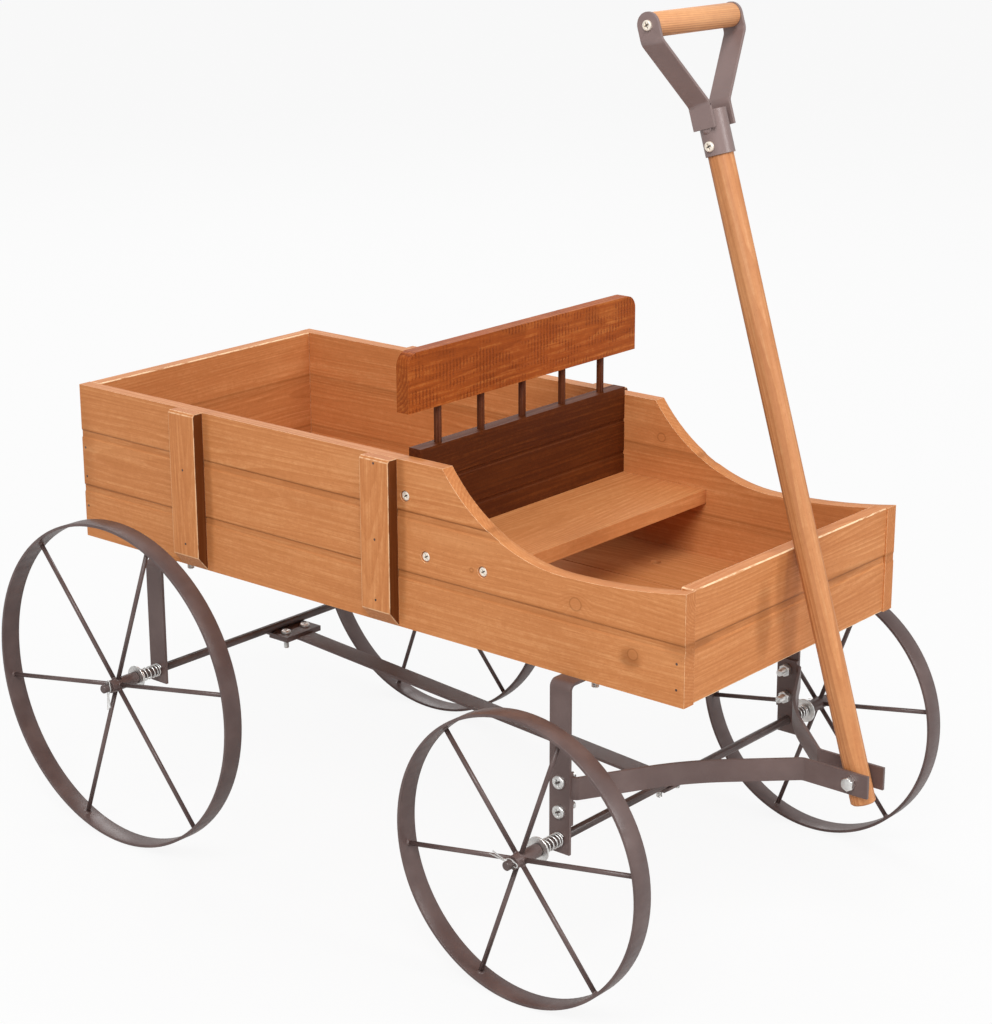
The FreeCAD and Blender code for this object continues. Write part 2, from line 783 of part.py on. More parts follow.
def socket_screw_length():
    return socket_outer_radius + pole_radius / 2


def grip_socket():
    """Short steel tube over the pole's upper end."""
    foot = vec(0, 0, socket_bottom)
    tube = ring(foot, vec(0, 0, 1), socket_outer_radius, socket_inner_radius, socket_length)
    point = vec(0, -socket_outer_radius, socket_bottom + socket_screw_up)
    return tube.cut(rod(point, vec(0, 1, 0), screw_diameter / 2 + fixed_clearance, socket_outer_radius))


def grip_strap(side):
    """Flat strap from the socket's side out to the end of the grip, with a rounded upper end."""
    lower_y = side * (socket_outer_radius + bar_thickness / 2)
    upper_y = side * (grip_length + bar_thickness) / 2
    tip = grip_height + bar_width / 2
    path = ((lower_y, strap_lower_end), (lower_y, strap_lower_bend), (upper_y, strap_upper_bend),
            (upper_y, tip))
    strap = bent_bar("YZ", path, (strap_bend_radius, strap_bend_radius), -bar_width / 2, bar_width)
    reach = grip_length
    rounded = rod(vec(0, -reach, grip_height), vec(0, 1, 0), bar_width / 2, 2 * reach)
    below = block(-bar_width / 2, bar_width / 2, -reach, reach, strap_lower_end, grip_height)
    strap = strap.common(rounded.fuse(below))
    hole = rod(vec(0, -reach, grip_height), vec(0, 1, 0), screw_diameter / 2 + fixed_clearance, 2 * reach)
    return strap.cut(hole)


def grip_dowel():
    """Round wooden grip between the straps, drilled at both ends for its screws."""
    dowel = rod(vec(0, -grip_length / 2, grip_height), vec(0, 1, 0), grip_diameter / 2, grip_length)
    for side in (-1, 1):
        start = vec(0, side * grip_length / 2, grip_height)
        dowel = dowel.cut(rod(start, vec(0, -side, 0), screw_diameter / 2 + fixed_clearance, screw_length))
    return dowel


def wood_screw(seat, direction, shank):
    return pan_bolt(seat, direction, screw_diameter, screw_head_diameter, screw_head_height, shank)


# ==== Fastener groups =========================================================================
def drawbar_fasteners():
    """Bolts through the front bracket's legs and the drawbar flanges, with nuts inside."""
    bolts = []
    nuts = []
    for side in (-1, 1):
        for height in drawbar_bolt_heights:
            seat = vec(x_of(front_axle_station), side * bracket_outer_y, height)
            shank = 2 * bar_thickness + nut_height + bolt_tail
            bolts.append(pan_bolt(seat, vec(0, side, 0), bolt_diameter, bolt_head_diameter,
                                  bolt_head_height, shank))
            nut_seat = vec(seat.x, side * arm_flange_inner_y, height)
            nuts.append(drilled_nut(nut_seat, vec(0, -side, 0), bolt_diameter, nut_flats, nut_height))
    return bolts, nuts


def floor_fasteners():
    """Bolts down through the floor boards and the bracket tops, with nuts below."""
    bolts = []
    nuts = []
    for point in floor_bolt_points():
        shank = board_thickness + bar_thickness + nut_height + floor_bolt_tail
        bolts.append(pan_bolt(point, vec(0, 0, 1), bolt_diameter, bolt_head_diameter,
                              bolt_head_height, shank))
        nut_seat = vec(point.x, point.y, box_underside - bar_thickness)
        nuts.append(drilled_nut(nut_seat, vec(0, 0, -1), bolt_diameter, nut_flats, nut_height))
    return bolts, nuts


def brace_bolts():
    """Bolts down through the axle tabs into the threaded heads of the brace."""
    bolts = []
    for station, height, toward in brace_ends():
        for point in tab_bolt_points(station, height, toward):
            bolts.append(pan_bolt(point, vec(0, 0, 1), tab_bolt_diameter, tab_bolt_head_diameter,
                                  tab_bolt_head_height, 2 * bar_thickness + tab_bolt_tail))
    return bolts


def pole_bolt():
    """Hexagon bolt that is the handle's hinge pin."""
    seat = vec(x_of(hinge_station), -arm_outer_y, hinge_height)
    head = hex_prism(seat, vec(0, -1, 0), nut_flats, hex_head_height)
    shank = rod(seat, vec(0, 1, 0), bolt_diameter / 2, 2 * arm_outer_y + nut_height + bolt_tail)
    return head.fuse(shank).removeSplitter()


def pole_nut():
    seat = vec(x_of(hinge_station), arm_outer_y, hinge_height)
    return drilled_nut(seat, vec(0, 1, 0), bolt_diameter, nut_flats, nut_height)


def build():
    os.makedirs("parts", exist_ok=True)

    for name, side in (("right", -1), ("left", 1)):
        save("side_panel_" + name, side_panel(side))
        for place, station in zip(("rear", "front"), batten_stations):
            save("batten_" + place + "_" + name, batten(station, side))
        save("drawbar_arm_" + name, drawbar_arm(side))
        save("grip_strap_" + name, lean_back(grip_strap(side)))
    save("rear_panel", end_panel(0.0, side_height, -1))
    save("front_panel", end_panel(front_panel_back, front_height, 1))
    for index, name in enumerate(("right", "middle", "left")):
        save("floor_board_" + name, floor_board(index))
    save("seat_back_board", seat_back_board())
    save("seat_board", seat_board())
    save("backrest_rail", backrest_rail())
    save_group("back_spindles", spindles())
    screws = []
    for side in (-1, 1):
        for point in side_screw_points(side):
            screws.append(wood_screw(point, vec(0, side, 0), screw_length))
    save_group("side_screws", screws)

    tube, path = spring_tube()
    print("spring self gap, mm:", round(spring_self_gap(path), 2))
    washers = []
    pins = []
    directions = dict(zip((("rear", -1), ("front", -1), ("rear", 1), ("front", 1)), pin_directions))
    for place, station, radius, leg_bolts in (("rear", rear_axle_station, rear_wheel_radius, ()),
                                              ("front", front_axle_station, front_wheel_radius,
                                               drawbar_bolt_heights)):
        save(place + "_bracket", axle_bracket(station, radius, leg_bolts))
        save(place + "_axle", axle(station, radius, [directions[(place, side)] for side in (-1, 1)]))
        save(place + "_axle_tab", axle_tab(station, radius, 1 if place == "rear" else -1))
        for name, side in (("right", -1), ("left", 1)):
            end = place + "_" + name
            centre = vec(x_of(station), side * rim_middle_y, radius)
            save("rim_" + end, wheel_rim(centre, radius))
            save("hub_" + end, wheel_hub(centre, side))
            save_group("spokes_" + end, wheel_spokes(centre, radius))
            save("spring_" + end, placed_spring(tube, station, radius, side))
            washer_spot = vec(x_of(station), side * washer_inner_y, radius)
            washers.append(ring(washer_spot, vec(0, side, 0), washer_diameter / 2,
                                axle_radius + washer_clearance, washer_thickness))
            pins.append(split_pin(station, radius, side, directions[(place, side)]))
    save_group("spring_washers", washers)
    save_group("split_pins", pins)
    save("centre_brace", brace())

    save("pull_pole", lean_back(pull_pole()))
    save("grip_socket", lean_back(grip_socket()))
    save("grip_dowel", lean_back(grip_dowel()))
    grip_seats = [vec(0, side * (grip_length / 2 + bar_thickness), grip_height) for side in (-1, 1)]
    grip_screws = [wood_screw(seat, vec(0, seat.y, 0).normalize(), screw_length) for seat in grip_seats]
    save("grip_screws", lean_back(Part.makeCompound(grip_screws)))
    socket_seat = vec(0, -socket_outer_radius, socket_bottom + socket_screw_up)
    save("socket_screw", lean_back(wood_screw(socket_seat, vec(0, -1, 0), socket_screw_length())))

    bolts, nuts = drawbar_fasteners()
    save_group("drawbar_bolts", bolts)
    save_group("drawbar_nuts", nuts)
    bolts, nuts = floor_fasteners()
    save_group("floor_bolts", bolts)
    save_group("floor_nuts", nuts)
    save_group("brace_bolts", brace_bolts())
    save("pole_bolt", pole_bolt())
    save("pole_nut", pole_nut())


build()
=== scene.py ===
import math

import bpy
import mathutils
import numpy as np
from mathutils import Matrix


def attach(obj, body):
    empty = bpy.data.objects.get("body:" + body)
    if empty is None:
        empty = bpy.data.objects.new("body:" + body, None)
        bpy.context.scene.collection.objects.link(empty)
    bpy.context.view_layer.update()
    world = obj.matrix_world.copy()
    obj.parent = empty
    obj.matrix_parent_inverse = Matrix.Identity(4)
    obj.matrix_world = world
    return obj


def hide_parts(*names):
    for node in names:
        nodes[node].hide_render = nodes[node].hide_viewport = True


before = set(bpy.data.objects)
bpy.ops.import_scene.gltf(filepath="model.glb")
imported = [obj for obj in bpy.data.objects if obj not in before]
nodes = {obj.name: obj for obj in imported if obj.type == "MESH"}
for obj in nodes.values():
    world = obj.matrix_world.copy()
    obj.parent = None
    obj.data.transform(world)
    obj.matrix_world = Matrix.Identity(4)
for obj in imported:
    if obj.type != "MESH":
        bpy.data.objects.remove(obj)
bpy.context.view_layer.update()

# ---------------------------------------------------------------------------------------------
# Floor boards. Three fir boards lie side by side between the panels, with holes that let water
# out. All the box wood is fir with a brushed orange-brown stain that darkens the late rings.

# Linear colours: early wood, late wood and pale streaks, then dark stain in pores and knots that
# also serves as painted shade in some smears, painted shade in the grooves, darker stain with
# painted shade on the battens' sides, and the bare wood of rubbed edges.
FIR = (0.548, 0.210, 0.070)
FIR_LATE = (0.400, 0.128, 0.033)
FIR_PALE = (0.680, 0.315, 0.125)
DARK_STAIN_AND_SHADE = (0.215, 0.066, 0.014)
GROOVE_SHADE_COLOUR = (0.270, 0.088, 0.020)
SIDE_STAIN_AND_SHADE_COLOUR = (0.125, 0.030, 0.004)
CHIPPED = (0.880, 0.610, 0.370)
X_AXIS, Y_AXIS, Z_AXIS = (1, 0, 0), (0, 1, 0), (0, 0, 1)


class Field:
    """A number, colour or vector that varies over a surface. Sums on it add Math nodes."""

    tree = None

    def __init__(self, socket):
        self.socket = socket

    @classmethod
    def node(cls, kind, settings=None, values=None, out=0):
        """Adds a node: its settings first, then the values or links of its sockets."""
        new = cls.tree.nodes.new(kind)
        for key, value in (settings or {}).items():
            if key == "stops":
                ramp = new.color_ramp.elements
                while len(ramp) < len(value):
                    ramp.new(0.5)
                for stop, (place, colour) in zip(ramp, value):
                    stop.position = place
                    stop.color = (*colour, 1)
            else:
                setattr(new, key, value)
        for key, value in (values or {}).items():
            if isinstance(value, Field):
                cls.tree.links.new(value.socket, new.inputs[key])
            else:
                new.inputs[key].default_value = value
        return cls(new.outputs[out])

    def joined(operation):
        """A method that joins this number and another by a Math node."""
        def result(self, other=0.0):
            return Field.node("ShaderNodeMath", {"operation": operation}, {0: self, 1: other})
        return result

    __add__ = joined("ADD")
    __sub__ = joined("SUBTRACT")
    __mul__ = joined("MULTIPLY")
    __truediv__ = joined("DIVIDE")
    above = joined("GREATER_THAN")
    greater = joined("MAXIMUM")
    fraction = joined("FRACT")
    size = joined("ABSOLUTE")
    root = joined("SQRT")

    def between(self, low, high, start=0.0, end=1.0):
        """Goes smoothly from start to end as the number goes from low to high."""
        return Field.node("ShaderNodeMapRange", {"interpolation_type": "SMOOTHSTEP"},
                          {0: self, 1: low, 2: high, 3: start, 4: end})


def vector(x, y, z):
    """Three numbers or fields as one vector."""
    return Field.node("ShaderNodeCombineXYZ", None, {0: x, 1: y, 2: z})


def dot(a, b):
    """The dot product, a number; with an axis as b it is a's part along that axis."""
    return Field.node("ShaderNodeVectorMath", {"operation": "DOT_PRODUCT"}, {0: a, 1: b}, out=1)


def noise(place, scale=1.0, detail=2.0, rough=0.5):
    """Soft noise from 0 to 1 at a place given in millimetres times scale."""
    return Field.node("ShaderNodeTexNoise", None,
                      {"Vector": place, "Scale": scale, "Detail": detail, "Roughness": rough})


def mixed(amount, first, second):
    """first where amount is 0, second where it is 1."""
    new = Field.tree.nodes.new("ShaderNodeMix")
    new.data_type = "RGBA"
    for slot, value in ((0, amount), (6, first), (7, second)):
        if isinstance(value, Field):
            Field.tree.links.new(value.socket, new.inputs[slot])
        else:
            new.inputs[slot].default_value = (*value, 1) if slot else value
    return Field(new.outputs[2])


def start_material(name, constants):
    """A new material whose surface is one Principled shader with these constant values."""
    made = bpy.data.materials.new(name)
    made.use_nodes = True
    Field.tree = made.node_tree
    shader = made.node_tree.nodes["Principled BSDF"]
    for key, value in constants.items():
        shader.inputs[key].default_value = value
    return made


def feed(made, **fields):
    """Links fields to the material's shader, such as base_color= or normal=."""
    shader = made.node_tree.nodes["Principled BSDF"]
    for key, value in fields.items():
        made.node_tree.links.new(value.socket, shader.inputs[key.replace("_", " ").title()])
    return made


def millimetres():
    """The point on the piece in millimetres, and the piece's own normal there."""
    texture = Field.tree.nodes.new("ShaderNodeTexCoord")
    place = Field.node("ShaderNodeVectorMath", {"operation": "SCALE"},
                       {0: Field(texture.outputs["Object"]), 3: 1000.0})
    return place, Field(texture.outputs["Normal"])


def stained_wood(name, axes, pith, seed, colours=(FIR, FIR_LATE, FIR_PALE), boards=(), knots=(),
                 smears_and_shade=(), ring=2.1, worn=0.0, slope=0.012, side_stain_and_shade=0.0, chatter=0.0, sheen=0.22,
                 chip=CHIPPED, grain=0.24):
    """Growth rings are distances from a wandering pith line, in steps of ring millimetres.

    axes are the directions along the grain, across the face and into the board. pith is its place
    (across, into). boards are the grooves' places across, and each groove gets painted shade. Each
    knot is (along, across, radius) and bends the rings round it. Each smear is a dark patch (along,
    across, half length, half width, amount), some of stain and some of painted shade. slope is how
    fast the pith line sinks along the board, and grain how far late wood darkens.
    side_stain_and_shade darkens the faces that look across with darker stain and painted shade,
    chatter adds a planer's cross marks, worn mixes in the chip colour by patches, and sheen is the
    shader's specular level.
    """
    made = start_material(name, {"Specular IOR Level": sheen})
    place, normal = millimetres()
    u, v, w = (dot(place, axis) for axis in axes)
    # Each groove starts a new board, and has painted shade: a dark lip above its middle
    # and a fainter bed.
    board = groove_shade_mask = 0.0
    for edge in boards:
        board = v.above(edge) + board
        lip = (v - edge - 2.6).size().between(0.2, 2.0, 0.9, 0.0)
        bed = (v - edge).size().between(2.4, 4.2, 0.38, 0.0)
        groove_shade_mask = lip.greater(bed).greater(groove_shade_mask)
    shift = board * 37.3 + seed * 11.7
    wander = noise(vector(u * 0.0035 + shift, v * 0.014, w * 0.014), detail=1.0) - 0.5
    ripple = noise(vector(u * 0.012 + shift, v * 0.09, w * 0.09), detail=2.0) - 0.5
    # Rings round the pith line, pushed aside by each knot.
    off_pith = v - pith[0] - board * 9.0 + wander * 22.0
    depth = w - pith[1] + u * slope + wander * 24.0
    radius = (off_pith * off_pith + depth * depth).root() + ripple * 2.2
    knot_core = knot_rim = knot_glow = 0.0
    for along, across, size in knots:
        du, dv = u - along, v - across
        away = (du * du * 0.85 + dv * dv).root() + ripple * size * 0.5
        radius = radius + away.between(size * 0.6, size * 3.2, size * 0.9, 0.0)
        knot_core = away.between(size * 0.86, size, 1.0, 0.0).greater(knot_core)
        knot_rim = (away - size).size().between(0.0, 0.75, 1.0, 0.0).greater(knot_rim)
        knot_glow = away.between(size * 0.8, size * 2.6, 1.0, 0.0).greater(knot_glow)
    phase = (radius / ring).fraction()
    late = phase.between(0.15, 0.92) * phase.between(0.92, 1.0, 1.0, 0.0)
    # From here on, finer and finer marks that all run along the grain.
    bold = noise(vector(radius * 0.10, shift, 0.0), detail=1.0).between(0.35, 0.70, 0.2, 1.0)
    fibre = noise(vector(u * 0.04 + shift, v * 1.9, w * 1.9), detail=3.0, rough=0.65)
    streak = noise(vector(u * 0.007 + shift, v * 0.42, w * 0.42), detail=4.0, rough=0.6)
    cloud = noise(vector(u * 0.012 + shift, v * 0.035, w * 0.035), detail=3.0)
    speck = noise(vector(u * 0.5 + shift, v * 2.6, w * 2.6), detail=1.0)
    mottle = noise(vector(u * 0.22 + shift, v * 0.30, w * 0.30), detail=4.0, rough=0.7) - 0.5
    end_grain = dot(normal, axes[0]).size().between(0.45, 0.95)

    plain, dark, pale = colours
    amount = (late * bold * grain + (fibre - 0.5) * 0.50 + (streak - 0.5) * 0.80 + mottle * 0.50
              + 0.30)
    tone = Field.node("ShaderNodeValToRGB", {"stops": ((0.0, pale), (0.32, plain), (1.0, dark))},
                      {0: amount})
    tone = mixed(cloud.between(0.52, 0.78, 0.0, 0.34), tone, dark)
    tone = mixed(cloud.between(0.46, 0.24, 0.0, 0.30), tone, pale)
    tone = mixed(speck.between(0.64, 0.80, 0.0, 0.42), tone, DARK_STAIN_AND_SHADE)
    tone = mixed(end_grain * (late * 0.25 + 0.22), tone, dark)
    # Painted shade in the grooves.
    if boards:
        tone = mixed(groove_shade_mask * (streak * 0.9 + 0.10), tone, GROOVE_SHADE_COLOUR)
    # Faces that look across the board: darker stain with painted shade.
    if side_stain_and_shade:
        side_stain_and_shade_mask = dot(normal, axes[1]).size().between(0.80, 0.95)
        tone = mixed(side_stain_and_shade_mask * (streak * 0.5 + 0.7) * side_stain_and_shade, tone, SIDE_STAIN_AND_SHADE_COLOUR)
    # Dark patches: some are stain, and some are painted shade or a painted shadow.
    for along, across, long, wide, strength in smears_and_shade:
        du, dv = (u - along) / long, (v - across) / wide
        away = (du * du + dv * dv).root() + (streak - 0.5) * 0.9
        tone = mixed(away.between(0.35, 1.1, strength, 0.0), tone, DARK_STAIN_AND_SHADE)
    relief = fibre * 0.10 + late * 0.08 + streak * 0.12
    if chatter:
        beat = (u / 3.3 + streak * 0.6).fraction() - 0.5
        patch = noise(vector(u * 0.05 + shift, v * 0.16, w * 0.01), detail=2.0).between(0.42, 0.62)
        cross = beat.size().between(0.10, 0.34, 1.0, 0.0) * patch * speck.between(0.25, 0.6)
        tone = mixed(cross * chatter, tone, dark)
        relief = relief - cross * 0.35
    if knots:
        tone = mixed(knot_glow * 0.26, tone, dark)
        tone = mixed(knot_core * 0.30, tone, plain)
        tone = mixed(knot_rim * 0.42, tone, DARK_STAIN_AND_SHADE)
    if worn:
        patchy = noise(vector(u * 0.07 + shift, v * 0.3, w * 0.3), detail=3.0, rough=0.7)
        tone = mixed(patchy.between(0.34, 0.54, 0.15, worn), tone, chip)
    bump = Field.node("ShaderNodeBump", None,
                      {"Strength": 0.5, "Distance": 0.0006, "Height": relief})
    return feed(made, base_color=tone, roughness=fibre * 0.16 + late * 0.06 + 0.46, normal=bump)


def ease(name, size, planar=True, arris=None, finish=None):
    """Gives a CAD node its finish and breaks its sharp edges by size millimetres.

    planar joins the triangles of each flat face first, and arris is the bevel's own material.
    """
    solid = nodes[name]
    solid.data.materials.clear()
    solid.data.materials.append(finish)
    weld = solid.modifiers.new("joined", "WELD")
    weld.merge_threshold = 0.000005
    if planar:
        flat = solid.modifiers.new("flat", "DECIMATE")
        flat.decimate_type = "DISSOLVE"
        flat.angle_limit = math.radians(0.4)
    if size:
        edge = solid.modifiers.new("eased", "BEVEL")
        edge.width = size / 1000
        edge.segments = 2
        edge.limit_method = "ANGLE"
        edge.angle_limit = math.radians(32.0)
        edge.harden_normals = True
        if arris:
            solid.data.materials.append(arris)
            edge.material = 1


floor_axes = (X_AXIS, Y_AXIS, Z_AXIS)
for number, (side, pith_y) in enumerate((("right", -92.0), ("middle", 12.0), ("left", 61.0))):
    wood = stained_wood(f"floor_fir_{side}", floor_axes, (pith_y, 172.0), 3 + number, ring=2.6)
    ease(f"floor_board_{side}", 0.6, finish=wood)

# ---------------------------------------------------------------------------------------------
# Side panels. Each is one wide fir board, scooped down in front of the seat, with two shallow
# grooves ploughed along it to look like three planks. The stain has rubbed off its sharp edges.

# Stations run along the box from its rear end, and this one is at x = 0. Grooves are heights.
MIDDLE_STATION = 283.72
GROOVES = (236.5, 277.5)
side_axes = (X_AXIS, Z_AXIS, Y_AXIS)
near_knots = ((455.5 - MIDDLE_STATION, 247.9, 4.3), (499.5 - MIDDLE_STATION, 225.6, 3.4),
              (372.0 - MIDDLE_STATION, 252.0, 1.3))
near_smears_and_shade = ((497.5 - MIDDLE_STATION, 222.5, 9.0, 8.0, 0.55),
               (-2.0 - MIDDLE_STATION, 258.0, 18.0, 60.0, 0.22),
               (536.0 - MIDDLE_STATION, 236.5, 16.0, 8.0, 0.25),
               # The last two smears are painted shade beside the front edge of each batten.
               (131.0 - MIDDLE_STATION, 250.0, 5.5, 75.0, 0.42),
               (312.0 - MIDDLE_STATION, 265.0, 5.5, 75.0, 0.42))
for side, pith, seed, knots, smears_and_shade in (
        ("right", (262.0, -96.0), 1, near_knots, near_smears_and_shade),
        ("left", (249.0, 98.0), 2, ((-160.0, 214.0, 4.0), (70.0, 288.0, 3.2)), ())):
    finishes = [stained_wood(f"side_fir_{side}{word}", side_axes, pith, seed, boards=GROOVES,
                             knots=knots, smears_and_shade=smears_and_shade, worn=rubbed)
                for word, rubbed in (("", 0.0), ("_rubbed", 1.0))]
    ease(f"side_panel_{side}", 0.8, finish=finishes[0], arris=finishes[1])

# ---------------------------------------------------------------------------------------------
# Rear and front panels. Fir boards set between the side panels and nailed through them, grooved
# like the sides. The front one has dark marks beside the handle's pole, which are the pole's
# painted shadow, and two darker streaks along its groove.

end_axes = (Y_AXIS, Z_AXIS, X_AXIS)
for name, pith, seed, grooves, smears_and_shade in (
        ("rear_panel", (259.0, -262.0), 5, GROOVES, ()),
        ("front_panel", (231.0, 232.0), 6, GROOVES[:1],
         # The first two smears are the pole's painted shadow.
         ((-34.0, 232.0, 10.0, 30.0, 0.40), (-14.0, 250.0, 9.0, 34.0, 0.34),
          (-98.0, 236.5, 16.0, 4.0, 0.45), (58.0, 239.0, 46.0, 4.0, 0.30)))):
    finishes = [stained_wood(name + word, end_axes, pith, seed, boards=grooves, smears_and_shade=smears_and_shade,
                             worn=rubbed, slope=0.04)
                for word, rubbed in (("_fir", 0.0), ("_rubbed", 1.0))]
    ease(name, 0.8, finish=finishes[0], arris=finishes[1])

# ---------------------------------------------------------------------------------------------
# Battens. Four upright fir strips with a bevelled foot are nailed over the side panels. Their
# saw-cut sides are darker, in part from darker stain and in part from painted shade.

batten_axes = (Z_AXIS, X_AXIS, Y_AXIS)
for number, (end, station) in enumerate((("rear", 116.0), ("front", 297.0))):
    for turn, (side, outward) in enumerate((("right", -1), ("left", 1))):
        pith = (station - MIDDLE_STATION + 4.0 - 9 * number, outward * 108.0)
        finishes = [stained_wood(f"batten_{end}_{side}{word}", batten_axes, pith,
                                 9 + number * 2 + turn, ring=1.9, worn=rubbed, slope=0.03,
                                 side_stain_and_shade=1.05)
                    for word, rubbed in (("_fir", 0.0), ("_rubbed", 0.6))]
        ease(f"batten_{end}_{side}", 0.5, finish=finishes[0], arris=finishes[1])

# ---------------------------------------------------------------------------------------------
# Bench. A seat board and a seat back board cross the box, and five turned dowels carry a rail
# with rounded corners. The seat is stained like the box, the rail a deeper red-brown, and the
# back and the dowels darker still, in part darker stain and in part painted shade.

BENCH = (0.330, 0.072, 0.010)
BENCH_LATE = (0.150, 0.026, 0.003)
BENCH_PALE = (0.520, 0.170, 0.036)
bench_colours = (BENCH, BENCH_LATE, BENCH_PALE)
# Darker stain with painted shade in it, for the seat back and the dowels.
dark_stain_and_shade_colours = ((0.085, 0.018, 0.003), (0.045, 0.008, 0.002), (0.150, 0.038, 0.007))
seat_axes = (Y_AXIS, X_AXIS, Z_AXIS)
ease("seat_board", 0.6, finish=stained_wood("seat_fir", seat_axes, (70.0, 236.0), 14))
for name, pith, seed, tints, marks in (("seat_back_board", (262.0, 18.0), 15, dark_stain_and_shade_colours, 0.0),
                                       ("backrest_rail", (371.0, 4.0), 16, bench_colours, 0.75)):
    finishes = [stained_wood(name + word, end_axes, pith, seed, tints, worn=rubbed, slope=0.03,
                             ring=2.6, chatter=marks, sheen=0.12, chip=tints[2])
                for word, rubbed in (("_fir", 0.0), ("_rubbed", 0.9))]
    ease(name, 0.9, finish=finishes[0], arris=finishes[1])
ease("back_spindles", 0.0, planar=False,
     finish=stained_wood("dowel_fir", batten_axes, (30.0, 12.0), 17, dark_stain_and_shade_colours, ring=1.6))

# ---------------------------------------------------------------------------------------------
# Running gear. Flat iron bar bent into brackets, a brace and tab plates, with drawn axle rods
# through them, all in a thin dark brown powder coat with a faint orange-peel surface.

COAT = (0.112, 0.070, 0.063)
COAT_WORN = (0.172, 0.118, 0.108)


def powder_coat(name, seed=0.0, colour=COAT):
    """Dark coat with orange-peel relief and dusty patches of a slightly paler brown."""
    made = start_material(name, {"Specular IOR Level": 0.5})
    place, _ = millimetres()
    moved = Field.node("ShaderNodeVectorMath", {"operation": "ADD"},
                       {0: place, 1: (seed, 0.0, seed)})
    dust = noise(moved, 0.045, detail=3.0)
    peel = noise(moved, 1.1, detail=2.0)
    grain = noise(moved, 3.5, detail=2.0)
    tone = mixed(dust.between(0.35, 0.75, 0.0, 0.45), colour, COAT_WORN)
    tone = mixed(grain.between(0.55, 0.8, 0.0, 0.25), tone, COAT_WORN)
    bump = Field.node("ShaderNodeBump", None,
                      {"Strength": 0.35, "Distance": 0.0004, "Height": peel * 0.6 + grain * 0.3})
    return feed(made, base_color=tone, roughness=dust * 0.14 + grain * 0.08 + 0.24, normal=bump)


bar_coat = powder_coat("bar_coat")
for name in ("rear_bracket", "front_bracket", "rear_axle_tab", "front_axle_tab", "centre_brace"):
    ease(name, 0.35, finish=bar_coat)
rod_coat = powder_coat("rod_coat", seed=20.0, colour=(0.066, 0.045, 0.041))
for name in ("rear_axle", "front_axle"):
    ease(name, 0.0, planar=False, finish=rod_coat)

# ---------------------------------------------------------------------------------------------
# Springs, washers and split pins. On every axle end a zinc-plated coil spring presses a wide
# washer against the hub, and a split pin through the axle holds the wheel on.

# Each axle is its name, x and height, and each side its name and direction along y.
AXLES = (("rear", 84.0 - MIDDLE_STATION, 118.5), ("front", 453.0 - MIDDLE_STATION, 95.0))
SIDES = (("right", -1), ("left", 1))
ZINC = (0.90, 0.90, 0.88)


def plated(name, colour=ZINC, metallic=1.0, rough=0.24):
    """Bright zinc plate: fine brushed speckle over soft cloudy patches."""
    made = start_material(name, {"Metallic": metallic})
    place, _ = millimetres()
    cloud = noise(place, 0.35, detail=3.0)
    speck = noise(place, 4.0, detail=2.0)
    tone = mixed(cloud.between(0.35, 0.75, 0.0, 0.5), colour, tuple(0.72 * part for part in colour))
    bump = Field.node("ShaderNodeBump", None,
                      {"Strength": 0.2, "Distance": 0.0002, "Height": speck})
    return feed(made, base_color=tone, roughness=cloud * 0.18 + speck * 0.08 + rough, normal=bump)


def closed_solid(rows):
    """Points and outward faces of the closed surface through rows of points (row, place, xyz).

    Each row closes on itself. Where the last row is the first one again the rows close too, and
    otherwise one face covers each end row. Faces that give a negative volume are turned over.
    """
    looped = np.allclose(rows[0], rows[-1])
    rows = rows[:-1] if looped else rows
    count, around = rows.shape[:2]
    index = np.arange(count * around).reshape(count, around)
    beside = np.roll(index, -1, axis=1)
    last = count if looped else count - 1
    above, above_beside = np.roll(index, -1, axis=0)[:last], np.roll(beside, -1, axis=0)[:last]
    quads = np.stack([index[:last], beside[:last], above_beside, above], axis=-1).reshape(-1, 4)
    points = rows.reshape(-1, 3)
    corners = points[quads] - points.mean(axis=0)
    volume = sum(np.einsum("ij,ij->", np.cross(corners[:, 0], corners[:, k]), corners[:, k + 1])
                 for k in (1, 2))
    faces = quads.tolist()
    if not looped:
        faces += [index[0, ::-1].tolist(), index[-1].tolist()]
    return points, faces if volume > 0 else [face[::-1] for face in faces]


def build(name, solids, finish, body, replaces=(), inlay=(), inlay_finish=None):
    """Makes one piece from closed solids, each an array (row, place in the row, xyz) in mm.

    The inlay's solids have their own finish. Edges of more than 40 degrees stay crisp.
    """
    points, faces, start, plain_faces = [], [], 0, 0
    for number, rows in enumerate([*solids, *inlay]):
        if number == len(solids):
            plain_faces = len(faces)
        some, around = closed_solid(np.asarray(rows, float))
        points.append(some)
        faces += [[start + corner for corner in face] for face in around]
        start += len(some)
    mesh = bpy.data.meshes.new(name)
    mesh.from_pydata((np.concatenate(points) / 1000).tolist(), [], faces)
    mesh.materials.append(finish)
    if inlay:
        mesh.materials.append(inlay_finish)
        inlaid = np.arange(len(faces)) >= plain_faces
        mesh.polygons.foreach_set("material_index", inlaid.astype(int))
    mesh.shade_smooth()
    mesh.set_sharp_from_angle(angle=math.radians(40.0))
    piece = bpy.data.objects.new(name, mesh)
    bpy.context.scene.collection.objects.link(piece)
    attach(piece, body)
    if replaces:
        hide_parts(*replaces)


def unit(vectors):
    """Each vector divided by its length."""
    return vectors / np.linalg.norm(vectors, axis=-1, keepdims=True)


def circle(radius, count):
    """count points round a circle, as (count, 2)."""
    angle = np.arange(count) * 2 * np.pi / count
    return radius * np.stack([np.cos(angle), np.sin(angle)], axis=-1)


